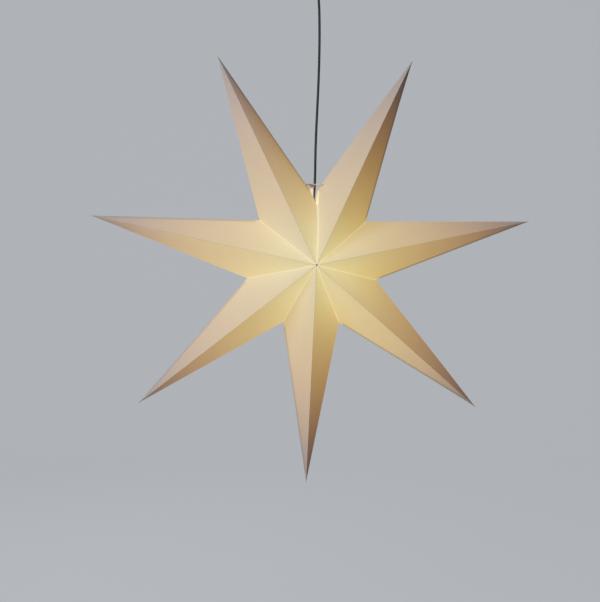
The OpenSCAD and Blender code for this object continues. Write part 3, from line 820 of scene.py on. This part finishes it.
def make_star():
    """Seven sheets, each with its closing tab. The slot is cut from the first and the last, and
    each of these has its own loose edge beside it."""
    cutters = slot_cutters()
    loose_edges = {0: slot_lip, 6: slot_flap}
    for i in range(7):
        sheet = new_piece(f"paper_point_{i + 1}", *folded_sheet(i), creased=20)
        parts = [closing_tab(i)]
        if i in loose_edges:
            cut_away(sheet, cutters)
            cut_away(parts[0], cutters)
            parts.append(loose_edges[i]())
        put_in(join_parts(sheet, parts), "paper", f"star_point_{i + 1}")
        dress(sheet, "paper")
    for cutter in cutters:
        bpy.data.objects.remove(cutter)


make_star()


# The tie string

def twisted(path, radius, turns, painted_shade, hint, closed=False):
    """A profile of round lobes, one for each ply, carried along a path and turned evenly on the
    way. The UV map keeps the lobe's height and how much painted shade, a warm brown, lies on the
    string."""
    plies, sides = 2, 16
    steps = np.arange(len(path)) / (len(path) if closed else len(path) - 1)
    a = np.arange(sides) / sides * 2 * np.pi
    lobe = np.abs(np.cos((a[None] - steps[:, None] * turns * 2 * np.pi) * plies / 2)) ** 0.7
    points, faces = ring_skin(swept_rings(path, radius * (0.62 + 0.38 * lobe), hint, closed),
                              closed)
    shares = np.concatenate([lobe.ravel(), [0.5, 0.5]])
    shade_share = np.concatenate([np.repeat(painted_shade, sides), [painted_shade[0], painted_shade[-1]]])
    corners = np.concatenate([np.asarray(face) for face in faces])
    uv = np.column_stack([shares[corners], shade_share[corners]])
    return new_piece("string_part", points + STAR_MIDDLE, faces, {"twist": uv}, 60)


KNOT_MIDDLE = np.array([-3.8, -8.6, 173.4]) * MM
LOOP_DEPTH = 8 * MM
END_LENGTH = 7 * MM


def loop_line():
    """A rounded oblong through both holes, before and behind the cord, with 260 even steps: the
    cosine and the sine of its angle are raised to a power below one, which squares a circle."""
    a = np.linspace(0, 2 * np.pi, 400)
    middle, half = (STRING_RIGHT + STRING_LEFT) / 2, (STRING_RIGHT - STRING_LEFT) / 2
    x = middle + half * np.sign(np.cos(a)) * np.abs(np.cos(a)) ** 0.35
    y = LOOP_DEPTH * np.sign(np.sin(a)) * np.abs(np.sin(a)) ** 0.35
    loop = np.column_stack([x, y, np.full(len(a), STRING_HEIGHT)])
    far = np.concatenate([[0], np.cumsum(np.linalg.norm(np.diff(loop, axis=0), axis=1))])
    even = np.linspace(0, far[-1], 261)[:-1]
    return np.column_stack([np.interp(even, far, loop[:, k]) for k in range(3)])


def knot_line():
    """A flattened trefoil, drawn tight."""
    t = np.linspace(0, 2 * np.pi, 140, endpoint=False)
    return KNOT_MIDDLE + MM * np.column_stack([1.9 * (np.sin(t) + 2 * np.sin(2 * t)),
                                               -1.1 * np.sin(3 * t),
                                               0.8 * (np.cos(t) - 2 * np.cos(2 * t))])


def end_line(way, curl):
    """A loose end, out of the knot in one direction and curling off by so many millimetres."""
    u = np.linspace(0, 1, 30)[:, None]
    return KNOT_MIDDLE + u * END_LENGTH * np.array(way) + u ** 2 * MM * np.array(curl)


def tie_string():
    """The loop, its knot and the two loose ends, which hang down to the left and the right. The
    loop is painted with a warm brown shade towards the knot and the left hole, and a little at the
    right hole; the knot carries it all over and the ends mostly."""
    loop, knot = loop_line(), knot_line()
    # How much painted shade, a warm brown, lies along the loop
    shade_share = 0.75 * np.interp(loop[:, 0], [-9 * MM, -5 * MM, 12 * MM, 17 * MM], [1, 0, 0, 0.5])
    piece = twisted(loop, 1.35 * MM, 22, shade_share, (0.02, 0.05, 1), True)
    piece.name = "tie_loop"
    parts = [twisted(knot, 1.7 * MM, 10, np.ones(len(knot)), (0.05, 1, 0.1), True)]
    for end in (end_line((-0.770, -0.342, -0.539), (0.6, 0, -0.8)),
                end_line((0.621, -0.259, -0.740), (0.9, -0.2, 0.5))):
        parts.append(twisted(end, 1.0 * MM, 2.5, np.full(len(end), 0.8), (0.1, 1, 0.05)))
    put_in(join_parts(piece, parts), "string", "tie_string")
    crease(piece, 60)
    dress(piece, "string")


tie_string()


# The ceiling fitting

def rounded(corners, radii, steps=6):
    """A closed outline with each corner replaced by a curve: it leaves one side and meets the
    next at the corner's own radius from it, as the quadratic between those two points."""
    corners = np.asarray(corners, float)
    before = np.roll(corners, 1, axis=0) - corners
    after = np.roll(corners, -1, axis=0) - corners
    radii = np.asarray(radii, float)[:, None]
    a = corners + before / np.linalg.norm(before, axis=1)[:, None] * radii
    b = corners + after / np.linalg.norm(after, axis=1)[:, None] * radii
    t = np.linspace(0, 1, steps)[None, :, None]
    curve = ((1 - t) ** 2 * a[:, None] + 2 * t * (1 - t) * corners[:, None]
             + t ** 2 * b[:, None])
    return curve.reshape(-1, 2)


def turned(name, outline, sides, flutes=None):
    """A closed outline of radius and height, turned round the axis. Flutes are cut where the
    height is between two limits, as a number of shallow cosine waves round the surface."""
    a = np.arange(sides) / sides * 2 * np.pi
    radius = np.repeat(outline[:, :1], sides, axis=1)
    height = np.repeat(outline[:, 1:], sides, axis=1)
    if flutes:
        low, high, least, count, depth = flutes
        cut = (outline[:, 1] > low) & (outline[:, 1] < high) & (outline[:, 0] > least)
        radius = radius - cut[:, None] * depth * (0.5 - 0.5 * np.cos(count * a))
    rings = np.stack([radius * np.cos(a), radius * np.sin(a), height], -1) * MM
    return new_piece(name, *ring_skin(rings, closed=True), creased=35)


def ceiling_fitting():
    """The cup as a thin turned shell with soft corners and a bead against the ceiling, and the
    gland with a fluted collar and a grooved sleeve that tapers down along the cord. Outlines
    are radius and height in millimetres."""
    cup = turned("ceiling_canopy", rounded(
        [(5.1, -58), (12, -58), (44, -20), (44, -3.2), (44.7, -2.4), (44.7, -0.3), (42.5, -0.3),
         (42.5, -20), (10.2, -56.5), (5.1, -56.5)],
        [0.3, 1.8, 5.0, 0.3, 0.5, 0.4, 0.3, 4.5, 1.2, 0.3]), 96)
    put_in(cup, "black_plastic", "ceiling_cup")
    low, high, grooves, depth = -79.7, -66.3, 5, 0.32
    z = np.linspace(low, high, 41)
    groove = depth * (0.5 - 0.5 * np.cos((z - low) / (high - low) * 2 * np.pi * grooves))
    taper = np.column_stack([5 + 3 * ((z + 80) / 14) ** 1.25 - groove, z])
    collar = rounded([(8, -66), (8, -58.05), (5, -58.05), (5, -50.6), (2.95, -50.6),
                      (2.95, -79.9)], [0.3, 0.5, 0.2, 0.4, 0.4, 0.1], 5)
    band = np.column_stack([np.full(9, 8.0), np.linspace(-65.4, -58.8, 9)])
    outline = np.concatenate([collar[:5], band, collar[5:], taper])
    gland = turned("cord_gland", outline, 120, (-65.3, -58.7, 7.9, 24, 0.35))
    put_in(gland, "black_plastic", "ceiling_gland")
    for piece in (cup, gland):
        dress(piece, "black_plastic")
    return [cup, gland]


ceiling_fitting()


# Finishes of the other nodes

NODE_FINISHES = {
    "bulb": "opal_glass", "nipple": "black_plastic", "nipple_screw": "steel",
    "holder_cap": "black_plastic", "holder_shell": "black_plastic",
    "holder_insert": "insert_ceramic", "threaded_sleeve": "brass", "centre_contact": "brass",
    "terminal_screw_1": "brass", "terminal_screw_2": "brass", "lamp_wires": "wire_sheath",
    "gland_nut": "black_plastic", "gland_screw": "steel",
    "ceiling_bracket": "bracket_steel", "cup_screw_1": "steel",
    "cup_screw_2": "steel", "terminal_block": "white_plastic", "block_screw_1": "brass",
    "block_screw_2": "brass", "block_screw_3": "brass", "block_screw_4": "brass",
    "ceiling_wires": "wire_sheath"}

for node, finish in NODE_FINISHES.items():
    mesh = NODES[node].data
    if not mesh.materials:
        mesh.materials.append(None)
    for slot in NODES[node].material_slots:
        slot.material = FINISHES[finish]


# Studio

BACKDROP = (0.55, 0.57, 0.60)


def sweep_finish():
    """Matt and pale to the lamps, and three quarters of an even glow to the camera."""
    f = Finish("studio_sweep")
    path = f.add("ShaderNodeLightPath")
    outs = path.socket.node.outputs
    seen = Wire(f, outs["Is Camera Ray"]).maths("MAXIMUM", Wire(f, outs["Is Glossy Ray"]))
    seen = seen.maths("MAXIMUM", Wire(f, outs["Is Transmission Ray"]))
    matt = f.add("ShaderNodeBsdfDiffuse", {}, {"Color": (0.55, 0.56, 0.58)})
    bright = f.add("ShaderNodeEmission", {}, {"Color": BACKDROP, "Strength": 1.0})
    both = f.add("ShaderNodeMixShader", {}, {0: seen * 0.75, 1: matt, 2: bright})
    f.add("ShaderNodeOutputMaterial", {}, {"Surface": both})
    return f.material


def studio_sweep():
    """A pale floor that curves up into the backdrop: a straight, a quarter circle, a straight."""
    floor, radius, back = -1.95, 1.2, 3.0
    front, top, half_width = -6.0, 3.5, 8.0
    a = np.linspace(0, np.pi / 2, 24)
    y = np.concatenate([[front], back + radius * np.sin(a), [back + radius]])
    z = np.concatenate([[floor], floor + radius * (1 - np.cos(a)), [top]])
    points = [(x, v, w) for v, w in zip(y, z) for x in (-half_width, half_width)]
    faces = [[2 * k, 2 * k + 1, 2 * k + 3, 2 * k + 2] for k in range(len(y) - 1)]
    mesh = bpy.data.meshes.new("studio_sweep")
    mesh.from_pydata(points, [], faces)
    mesh.materials.append(sweep_finish())
    mesh.polygons.foreach_set("use_smooth", np.full(len(mesh.polygons), True))
    sweep = bpy.data.objects.new("studio_sweep", mesh)
    bpy.context.collection.objects.link(sweep)


def soft_lamp(name, way, far, size, power, colour):
    """A square soft lamp that looks at the middle of the star from one direction."""
    lamp = bpy.data.lights.new(name, "AREA")
    lamp.shape = "SQUARE"
    lamp.size = size
    lamp.energy = power
    lamp.color = colour
    way = np.asarray(way, float) / np.linalg.norm(way)
    side = np.cross([0, 0, 1], way)
    side /= np.linalg.norm(side)
    seat = stand(name, lamp, side, np.cross(way, side), way, STAR_MIDDLE + far * way)
    seat.visible_camera = False


def light_studio():
    """A large soft lamp from the left, a weak one behind, and a faint even world, which the
    camera itself sees in the backdrop's colour."""
    soft_lamp("left_lamp", (-0.50, -0.79, 0.35), 2.3, 1.6, 39, (0.86, 0.94, 1.0))
    soft_lamp("back_lamp", (-0.45, 0.80, 0.35), 2.4, 1.5, 16, (0.92, 0.97, 1.0))
    world = bpy.data.worlds.new("studio_air")
    world.use_nodes = True
    tree = world.node_tree
    air, seen = tree.nodes["Background"], tree.nodes.new("ShaderNodeBackground")
    air.inputs["Color"].default_value = (0.9, 0.95, 1.0, 1)
    air.inputs["Strength"].default_value = 0.05
    seen.inputs["Color"].default_value = tuple(0.85 * c for c in BACKDROP) + (1,)
    path = tree.nodes.new("ShaderNodeLightPath")
    both = tree.nodes.new("ShaderNodeMixShader")
    tree.links.new(path.outputs["Is Camera Ray"], both.inputs[0])
    tree.links.new(air.outputs[0], both.inputs[1])
    tree.links.new(seen.outputs[0], both.inputs[2])
    tree.links.new(both.outputs[0], tree.nodes["World Output"].inputs["Surface"])
    bpy.context.scene.world = world


studio_sweep()
light_studio()
bpy.context.scene.view_settings.view_transform = "Standard"
